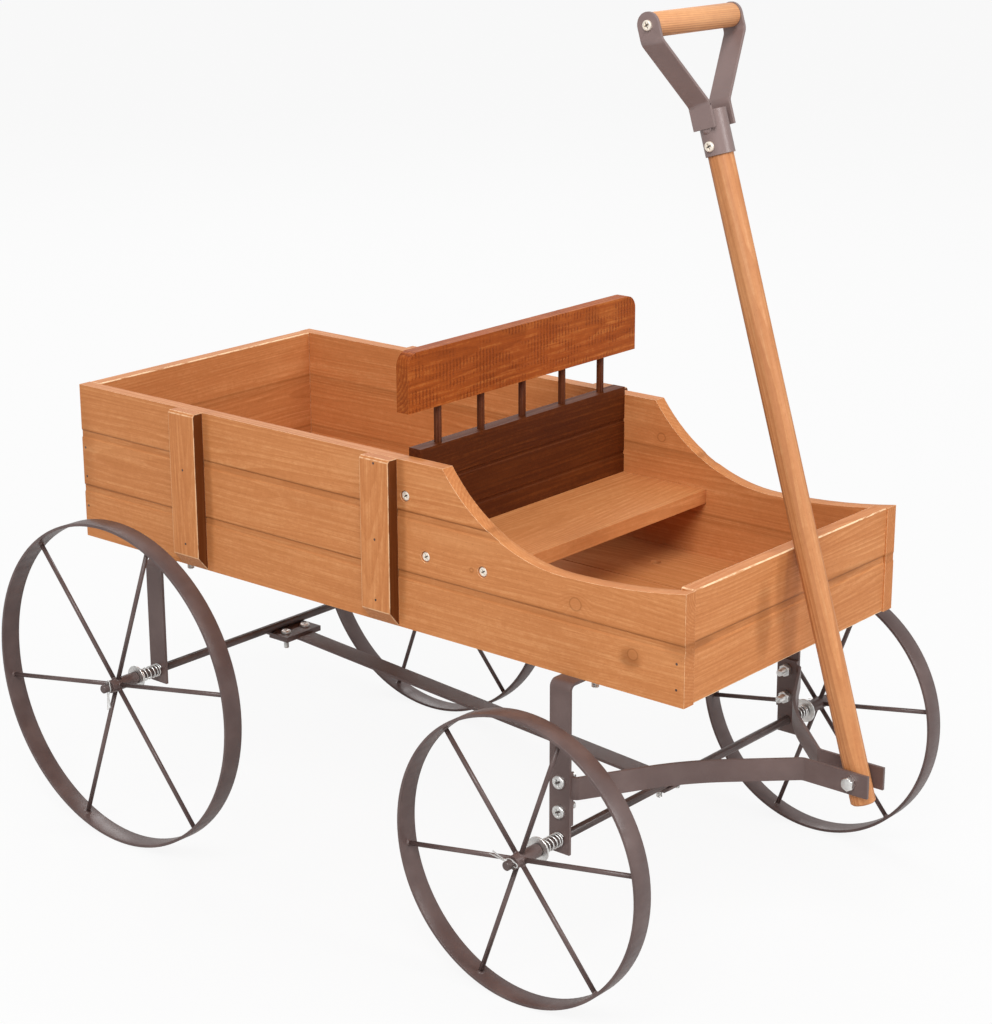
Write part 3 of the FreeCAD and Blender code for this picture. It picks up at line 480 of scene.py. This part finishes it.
def swept(path, side, profile):
    """The flat profile carried along the path: its first number along side, its second along
    the direction square to both side and path."""
    path = np.asarray(path, float)
    along = unit(np.gradient(path, axis=0))
    side = np.broadcast_to(np.asarray(side, float), path.shape)
    side = unit(side - along * np.sum(side * along, axis=1, keepdims=True))
    other = np.cross(along, side)
    return path[:, None] + profile[:, :1] * side[:, None] + profile[:, 1:] * other[:, None]


def square_to(axis):
    """The axis as a unit vector, and two directions square to it and to each other."""
    axis = unit(np.asarray(axis, float))
    first = unit(np.cross(axis, Z_AXIS if abs(axis[2]) < 0.9 else X_AXIS))
    return axis, first, np.cross(axis, first)


def turned(centre, axis, outline, around):
    """The outline's (distance along axis, radius) pairs turned round the axis through centre.

    A radius may itself be a row of radii, one for each of the around directions.
    """
    axis, first, second = square_to(axis)
    angle = np.arange(around) * 2 * np.pi / around
    spoke = np.cos(angle)[:, None] * first + np.sin(angle)[:, None] * second
    reach = np.array([distance for distance, _ in outline])
    radii = np.stack([np.broadcast_to(radius, around) for _, radius in outline])
    return np.asarray(centre) + reach[:, None, None] * axis + radii[..., None] * spoke


def coil(x, z, outward):
    """Wire on a helix round the axle: y climbs as t - 0.072 sin(2 pi t) while the angle climbs as
    t, from the bracket's leg to the washer."""
    turns, wire, middle, leg, length = 7.5, 0.50, 4.2, 129.5, 20.0
    share = np.linspace(0.0, 1.0, 300)
    climb = share - 0.072 * np.sin(2 * np.pi * share)
    angle = share * turns * 2 * np.pi + 0.6
    radial = np.stack([np.cos(angle), np.zeros_like(angle), np.sin(angle)], axis=-1)
    path = np.array([x, 0.0, z]) + middle * radial
    path[:, 1] = outward * (leg + wire + climb * (length - 2 * wire))
    return swept(path, radial, circle(wire, 10))


def split_pin(x, y, z, direction, bend):
    """One wire: a straight leg through the axle, a half circle of radius bow beyond it, then an
    arc of radius hug round the axle that ends in a second leg beside the first."""
    bow, hug, wire = 1.4, 3.65, 0.42
    aim = math.radians(direction)
    down = np.array([math.cos(aim), 0.0, math.sin(aim)])
    across = bend * np.array([-math.sin(aim), 0.0, math.cos(aim)])
    back = np.radians(np.arange(270.0, 100.0, -20.0))
    round_axle = np.radians(np.arange(128.0, 34.0, -8.0))
    leg = [[16.5, -0.6], [11.0, -0.25], [7.0, 0.0], [3.0, 0.0], [-1.0, 0.0], [-3.4, 0.0]]
    turn = np.stack([-4.2 + bow * np.cos(back), bow + bow * np.sin(back)], axis=-1)
    arc = hug * np.stack([np.cos(round_axle), np.sin(round_axle)], axis=-1)
    end = [[3.9, 1.55], [4.8, 1.20], [6.0, 1.10], [8.5, 1.35], [14.5, 2.20]]
    flat = np.concatenate([leg, turn, arc, end])
    path = np.array([x, y, z]) + flat[:, :1] * down + flat[:, 1:] * across
    return swept(path, Y_AXIS, circle(wire, 8))


zinc = plated("zinc_plate")
for end, x, z in AXLES:
    for side, outward in SIDES:
        build(f"coil_spring_{end}_{side}", [coil(x, z, outward)], zinc, "cart",
              replaces=(f"spring_{end}_{side}",))
inner, outer, near, far, rounded, pin_hole = 3.3, 8.5, 149.8, 151.0, 0.25, 177.6
washer = [(near, inner), (near, outer - rounded), (near + rounded, outer), (far - rounded, outer),
          (far, outer - rounded), (far, inner), (near, inner)]
washers, pins = [], []
pin_directions = {("rear", "right"): -90.0, ("front", "right"): 169.0,
                  ("rear", "left"): -60.0, ("front", "left"): 200.0}
for end, x, z in AXLES:
    for side, outward in SIDES:
        bend = -1 if end == "front" else 1
        pins.append(split_pin(x, outward * pin_hole, z, pin_directions[end, side], bend))
        washers.append(turned((x, 0.0, z), (0.0, outward, 0.0), washer, around=48))
build("split_pin_wires", pins, zinc, "cart", replaces=("split_pins",))
build("wide_washers", washers, zinc, "cart", replaces=("spring_washers",))

# ---------------------------------------------------------------------------------------------
# Wheels. A rolled iron strip, six drawn spokes and a short hub tube, welded together and powder
# coated; every spoke end has a small weld bead.


def bead(foot, axis, inner, outer, height):
    """A fillet round a spoke: its radius shrinks as a quarter circle from outer to inner."""
    turn = np.linspace(0.0, 0.5 * np.pi, 5)
    outline = np.stack([height * (1 - np.cos(turn)), outer - (outer - inner) * np.sin(turn)],
                       axis=-1)
    outline = np.concatenate([[[-0.3, outer * 0.96]], outline, [[height * 1.06, inner * 0.8]]])
    return turned(foot, axis, outline, around=14)


WHEEL_MIDDLE, RIM_THICKNESS, HUB_RADIUS, SPOKE_RADIUS = 168.5, 2.0, 4.3, 1.6
FIRST_SPOKE, SPOKES = 10.0, 6
for end, x, z in AXLES:
    for side, outward in SIDES:
        where = f"{end}_{side}"
        coat = powder_coat(f"wheel_coat_{where}", seed=37.0 * outward + z,
                           colour=(0.094, 0.059, 0.054))
        ease(f"rim_{where}", 0.3, planar=False, finish=coat)
        ease(f"spokes_{where}", 0.0, planar=False, finish=coat)
        ease(f"hub_{where}", 0.25, planar=False, finish=coat)
        beads = []
        centre = np.array([x, outward * WHEEL_MIDDLE, z])
        for number in range(SPOKES):
            angle = math.radians(FIRST_SPOKE + 360.0 / SPOKES * number)
            out = np.array([math.cos(angle), 0.0, math.sin(angle)])
            beads.append(bead(centre + out * (z - RIM_THICKNESS), -out, SPOKE_RADIUS, 2.9, 1.5))
            beads.append(bead(centre + out * HUB_RADIUS, out, SPOKE_RADIUS, 2.2, 1.3))
        build(f"weld_beads_{where}", beads, coat, f"wheel_{where}")

# ---------------------------------------------------------------------------------------------
# Drawbar. Two curved flat bars with bent flanges that are bolted inside the front bracket and
# carry the handle's hinge between their tips.

drawbar_coat = powder_coat("drawbar_coat", seed=90.0)
for side in ("right", "left"):
    ease(f"drawbar_arm_{side}", 0.35, finish=drawbar_coat)

# ---------------------------------------------------------------------------------------------
# Handle. A turned fir pole in a steel socket, with two bent straps that are welded to the socket
# and screwed to the ends of the grip dowel.

LEAN = math.radians(17.0)
pole_up = (-math.sin(LEAN), 0.0, math.cos(LEAN))
pole_out = (math.cos(LEAN), 0.0, math.sin(LEAN))
POLE = (0.590, 0.243, 0.086)
POLE_LATE = (0.400, 0.132, 0.036)
POLE_PALE = (0.740, 0.375, 0.160)
pole_colours = (POLE, POLE_LATE, POLE_PALE)
hinge = np.array([588.94 - MIDDLE_STATION, 0.0, 130.5])
pith_out = float(hinge @ np.array(pole_out))
# The pole's second smear is a painted shade band along its right side; the first darkens its upper
# part.
pole_fir = stained_wood("pole_fir", (pole_up, Y_AXIS, pole_out), (6.0, pith_out - 19.0), 21,
                        pole_colours, ring=2.2, slope=0.02, sheen=0.5, grain=0.5,
                        smears_and_shade=((400.0, 0.0, 330.0, 40.0, 0.18), (240.0, -9.0, 400.0, 7.0, 0.22)))
ease("pull_pole", 0.4, finish=pole_fir)
grip_fir = stained_wood("grip_fir", (Y_AXIS, pole_out, pole_up), (pith_out + 14.0, 612.0), 22,
                        pole_colours, ring=1.5, slope=0.06, sheen=0.5, grain=1.0, worn=0.12)
ease("grip_dowel", 0.5, finish=grip_fir)


def on_pole(up, y=0.0):
    """A point of the resting handle: up along the pole from the hinge, and y to the left."""
    return hinge + up * np.array(pole_up) + (0.0, y, 0.0)


# A paler copy of the coat: painted light on the straps, the socket and the weld drops.
painted_light_strap_coat = powder_coat("painted_light_strap_coat", seed=150.0, colour=(0.215, 0.150, 0.140))
for name in ("grip_strap_right", "grip_strap_left"):
    ease(name, 0.3, planar=False, finish=painted_light_strap_coat)
SOCKET_RADIUS = 9.3
foot, length, inner, chamfer = 397.0, 27.5, 8.1, 0.2
shoulder = SOCKET_RADIUS - chamfer
tube = [(0.0, inner), (0.0, shoulder), (chamfer, SOCKET_RADIUS), (length - chamfer, SOCKET_RADIUS),
        (length, shoulder), (length, inner), (0.0, inner)]
build("socket_tube", [turned(on_pole(foot), pole_up, tube, around=72)], painted_light_strap_coat, "handle",
      replaces=("grip_socket",))
drop_up, drop_y, drop_height, drop_radius, sunk = 413.4, 9.2, 2.6, 3.2, 0.9
share = np.linspace(0.0, 1.0, 9)
drop = np.stack([drop_height * share - sunk, drop_radius * np.sqrt(1.001 - share ** 2)], axis=-1)
build("weld_drops", [turned(on_pole(drop_up, outward * drop_y), (0, outward, 0), drop, around=24)
                     for outward in (-1, 1)], painted_light_strap_coat, "handle")

# ---------------------------------------------------------------------------------------------
# Fasteners. Pan-head screws with a cross recess hold the bench and the grip, and zinc-plated
# bolts and nuts hold the running gear.

cream = plated("cream_plate", colour=(0.95, 0.86, 0.74), metallic=0.55, rough=0.30)


def head_axes(axis):
    """The axis, and the two directions of a cross recess, which is turned by half a radian."""
    axis, first, second = square_to(axis)
    turn = 0.5
    return (axis, math.cos(turn) * first + math.sin(turn) * second,
            math.cos(turn) * second - math.sin(turn) * first)


def cross_head(seat, axis, diameter, height):
    """A low dome, 0.74 + 0.26 sqrt(1 - r^2) of its height over an upright edge, that falls by 0.62
    of its height inside a cross of two narrow bars."""
    radius = diameter / 2
    reach, width, depth = 0.62, 0.17, 0.62
    share = np.concatenate([[1.0, 1.0, 0.985, 0.95], np.linspace(0.86, 0.04, 16)])
    level = np.concatenate([[0.0, 0.45, 0.62], [0.74], 0.74 + 0.26 * np.sqrt(1 - share[4:] ** 2)])
    around = 48
    angle = np.arange(around) * 2 * np.pi / around
    x = share[:, None] * np.cos(angle)
    y = share[:, None] * np.sin(angle)

    def bar(p, q):
        """1 inside a bar along p that is narrow in q, and 0 outside it."""
        return (np.clip((reach - np.abs(p)) / 0.10, 0, 1)
                * np.clip((width - np.abs(q)) / 0.07, 0, 1))

    recess = np.maximum(bar(x, y), bar(y, x)) * depth
    recess[:4] = 0.0
    axis, first, second = head_axes(axis)
    rise = (level[:, None] - recess) * height
    return (np.asarray(seat) + rise[..., None] * axis
            + radius * (x[..., None] * first + y[..., None] * second))


def thread(seat, axis, radius, length, bare):
    """A rod of this radius that is cut, past its bare part, by 0.22 pitch (1 - cos(2 pi s)), where
    s is the distance in pitches less the share of a turn."""
    pitch, steps, around = 0.8, 6, 20
    rows = np.concatenate([[0.0, bare], np.arange(bare + 0.1, length - 0.3, pitch / steps)])
    turn = rows[:, None] / pitch - np.arange(around) / around
    ridge = 0.22 * pitch * (1 - np.cos(2 * np.pi * turn))
    ridge[:2] = 0.0
    outline = [(row, radius - cut) for row, cut in zip(rows, ridge)]
    return turned(seat, axis, outline + [(length, radius * 0.72)], around)


def hexagon(seat, axis, flats, height, bore=0.0):
    """A six-sided prism, its radius flats / 2 / cos(angle from the flat's middle), whose corners
    are cut by a cone at both faces. A bore makes it a nut."""
    around = 48
    angle = np.arange(around) * 2 * np.pi / around
    corner = np.abs((angle + np.pi / 6) % (np.pi / 3) - np.pi / 6)
    side = flats / 2 / np.cos(corner)
    outline = []
    for depth in (0.0, 0.12, 0.28, 0.45):
        outline.append((depth, np.minimum(side, flats * 0.485 + 1.5 * depth)))
    outline += [(height - depth, radius) for depth, radius in reversed(outline)]
    if bore:
        outline = [(0.3, bore), (0.0, bore + 0.3), *outline, (height, bore + 0.3),
                   (height - 0.3, bore), (0.3, bore)]
    return turned(seat, axis, outline, around)


def cross_floor(seat, axis, diameter, height):
    """Painted shade at the bottom of a head's recess: a dark plus-shaped prism just above the
    recess's floor.
    """
    long, wide = 0.29 * diameter, 0.085 * diameter
    outline = np.array([(long, -wide), (long, wide), (wide, wide), (wide, long), (-wide, long),
                        (-wide, wide), (-long, wide), (-long, -wide), (-wide, -wide),
                        (-wide, -long), (wide, -long), (wide, -wide)])
    axis, first, second = head_axes(axis)
    flat = outline[:, :1] * first + outline[:, 1:] * second
    return np.stack([np.asarray(seat) + level * height * axis + flat for level in (0.2, 0.52)])


def add_screws(name, places, sizes, finish, body, replaces):
    """Cross-headed screws at places of (seat, axis).

    sizes are the head's diameter and height, and the shank's radius, length and bare part.
    """
    head, height, radius, length, bare = sizes
    solids, crosses = [], []
    for seat, axis in places:
        solids.append(cross_head(seat, axis, head, height))
        solids.append(thread(seat, -np.asarray(axis, float), radius, length, bare))
        crosses.append(cross_floor(seat, axis, head, height))
    build(name, solids, finish, body, (replaces,), crosses, shade)


shade = powder_coat("recess_shade", colour=(0.035, 0.028, 0.024))
SCREW = (6.4, 1.9, 1.6, 24.0, 23.4)
SHORT_SCREW = (6.4, 1.9, 1.6, 12.0, 11.4)
LEG_BOLT = (9.0, 2.6, 2.5, 14.5, 3.6)
FLOOR_BOLT = (9.0, 2.6, 2.5, 24.0, 11.5)
BRACE_BOLT = (7.6, 2.2, 2.0, 12.0, 0.5)
NUT = (8.0, 4.0, 2.52)

sunk_y = 115.9
side_seats = [((station - MIDDLE_STATION, outward * sunk_y, z), (0, outward, 0))
              for _, outward in SIDES
              for station, z in ((316.0, 290.0), (333.0, 252.5), (381.0, 252.5))]
add_screws("sunk_side_screws", side_seats, SCREW, cream, "cart", "side_screws")
grip_up, strap_y, socket_up = 480.0, 44.0, 403.0
grip_seats = [(on_pole(grip_up, outward * strap_y), (0, outward, 0)) for _, outward in SIDES]
add_screws("cross_grip_screws", grip_seats, SCREW, cream, "handle", "grip_screws")
add_screws("cross_socket_screw", [(on_pole(socket_up, -SOCKET_RADIUS), (0, -1, 0))], SHORT_SCREW,
           cream, "handle", "socket_screw")

leg_outside, flange_inside, front_x = 129.5, 125.5, AXLES[1][1]
leg_seats, nuts = [], []
for _, outward in SIDES:
    for z in (113.5, 133.5):
        leg_seats.append(((front_x, outward * leg_outside, z), (0, outward, 0)))
        nuts.append(hexagon((front_x, outward * flange_inside, z), (0, -outward, 0), *NUT))
add_screws("leg_bolts", leg_seats, LEG_BOLT, zinc, "cart", "drawbar_bolts")
build("leg_nuts", nuts, zinc, "cart", replaces=("drawbar_nuts",))

floor_top, bracket_under, bolt_y = 210.0, 198.0, 94.0
floor_seats, nuts = [], []
for _, x, _ in AXLES:
    for _, outward in SIDES:
        floor_seats.append(((x, outward * bolt_y, floor_top), Z_AXIS))
        nuts.append(hexagon((x, outward * bolt_y, bracket_under), (0, 0, -1), *NUT))
add_screws("floor_bolt_set", floor_seats, FLOOR_BOLT, zinc, "cart", "floor_bolts")
build("floor_nut_set", nuts, zinc, "cart", replaces=("floor_nuts",))

off_axle, below_axle = 10.0, 3.0
brace_seats = []
for (_, x, z), toward in zip(AXLES, (1, -1)):
    brace_seats += [((x + toward * off_axle, y, z - below_axle), Z_AXIS) for y in (-10.0, 10.0)]
add_screws("brace_bolt_set", brace_seats, BRACE_BOLT, zinc, "cart", "brace_bolts")

yoke_face, flats, head, radius, length, bare = 10.3, 8.0, 3.5, 2.5, 27.6, 18.0
seat = hinge + (0.0, -yoke_face, 0.0)
build("hinge_bolt", [hexagon(seat, (0, -1, 0), flats, head),
                     thread(seat, Y_AXIS, radius, length, bare)],
      zinc, "cart", replaces=("pole_bolt",))
build("hinge_nut", [hexagon(hinge + (0.0, yoke_face, 0.0), Y_AXIS, *NUT)],
      zinc, "cart", replaces=("pole_nut",))

# ---------------------------------------------------------------------------------------------
# Nails. Thin wire nails driven flush hold the side panels to the end panels, and the battens to
# the side panels; their small heads have gone dark.

rust = powder_coat("nail_rust", colour=(0.045, 0.018, 0.009))
panel_y, batten_y = 118.0, 127.0
# Each pair is a distance out from the face and a radius.
nail_head = [(-0.6, 0.75), (0.08, 0.85), (0.16, 0.55)]
nails = []
for _, outward in SIDES:
    for face, station, heights in ((panel_y, 3.3, (267.3, 245.6, 223.3)),
                                   (panel_y, 532.2, (227.3, 210.8)),
                                   (batten_y, 116.0, (272.7, 219.1)),
                                   (batten_y, 297.0, (310.5, 259.2, 217.8))):
        for z in heights:
            nails.append(turned((station - MIDDLE_STATION, outward * face, z), (0, outward, 0),
                                nail_head, around=14))
build("nail_heads", nails, rust, "cart")

# ---------------------------------------------------------------------------------------------
# Studio. A white floor without edges under an even white sky. Large round softboxes stand on the
# right, in front and behind, and the right one is the brightest.


def white_ground(name):
    """A pale grey floor that the camera sees as nine parts plain white and one part lit grey, so
    that a tenth of the object's shadow stays."""
    made = bpy.data.materials.new(name)
    made.use_nodes = True
    Field.tree = made.node_tree
    made.node_tree.nodes.clear()
    path = Field.tree.nodes.new("ShaderNodeLightPath")
    seen = Field(path.outputs["Is Camera Ray"])
    paint = Field.node("ShaderNodeBsdfDiffuse", None, {"Color": (0.62, 0.62, 0.62, 1)})
    glow = Field.node("ShaderNodeEmission", None, {"Color": (1, 1, 1, 1), "Strength": 1.0})
    both = Field.node("ShaderNodeMixShader", None, {0: seen * 0.9, 1: paint, 2: glow})
    output = made.node_tree.nodes.new("ShaderNodeOutputMaterial")
    made.node_tree.links.new(both.socket, output.inputs[0])
    return made


half = 20.0
horizon_white, daylight = 0.32, 0.62
ground = bpy.data.meshes.new("ground")
ground.from_pydata([(-half, -half, 0), (half, -half, 0), (half, half, 0), (-half, half, 0)], [],
                   [(0, 1, 2, 3)])
ground.materials.append(white_ground("ground_white"))
ground_object = bpy.data.objects.new("ground", ground)
bpy.context.scene.collection.objects.link(ground_object)

world = bpy.data.worlds.new("studio")
world.use_nodes = True
bpy.context.scene.world = world
Field.tree = world.node_tree
path = world.node_tree.nodes.new("ShaderNodeLightPath")
seen = Field(path.outputs["Is Camera Ray"])
sky = world.node_tree.nodes["Background"]
sky.inputs["Color"].default_value = (1, 1, 1, 1)
world.node_tree.links.new((seen * horizon_white + daylight).socket, sky.inputs["Strength"])

lit_point = np.array([0.0, 0.0, 0.25])
for name, size, watts, place in (("key_softbox", 1.6, 66.0, (1.1, -1.9, 2.4)),
                                 ("front_softbox", 0.8, 16.0, (2.15, 0.38, 1.25)),
                                 ("rear_softbox", 1.6, 24.0, (-1.8, 1.6, 2.1))):
    lamp_data = bpy.data.lights.new(name, "AREA")
    lamp_data.shape = "DISK"
    lamp_data.size = size
    lamp_data.energy = watts
    lamp = bpy.data.objects.new(name, lamp_data)
    lamp.location = place
    bpy.context.scene.collection.objects.link(lamp)
    aim = lit_point - np.array(place)
    lamp.rotation_euler = (math.atan2(math.hypot(aim[0], aim[1]), -aim[2]), 0.0,
                           math.atan2(aim[1], aim[0]) - math.pi / 2)

# ---------------------------------------------------------------------------------------------
# Camera. It stands where the photograph was taken from, ahead of the cart on its right, and
# looks slightly down. Its place and lens come from a fit to points of the photograph.

HEADING, DIP, ROLL = math.radians(40.151), math.radians(17.053), math.radians(-0.161)
FOCAL_PIXELS, PHOTO_WIDTH, SENSOR_WIDTH = 2375.8, 992, 36.0
forward = np.array([-math.sin(HEADING) * math.cos(DIP), math.cos(HEADING) * math.cos(DIP),
                    -math.sin(DIP)])
level = np.array([math.cos(HEADING), math.sin(HEADING), 0.0])
upright = np.cross(level, forward)
right = math.cos(ROLL) * level + math.sin(ROLL) * upright
above = math.cos(ROLL) * upright - math.sin(ROLL) * level
camera_data = bpy.data.cameras.new("camera")
camera_data.sensor_width = SENSOR_WIDTH
camera_data.sensor_fit = "HORIZONTAL"
camera_data.lens = FOCAL_PIXELS / PHOTO_WIDTH * SENSOR_WIDTH
camera = bpy.data.objects.new("camera", camera_data)
pose = mathutils.Matrix.Identity(4)
for row in range(3):
    pose[row][0], pose[row][1], pose[row][2] = right[row], above[row], -forward[row]
pose.translation = (1.01788, -1.19580, 0.72690)
camera.matrix_world = pose
bpy.context.scene.collection.objects.link(camera)
bpy.context.scene.camera = camera

bpy.context.scene.view_settings.view_transform = "Standard"
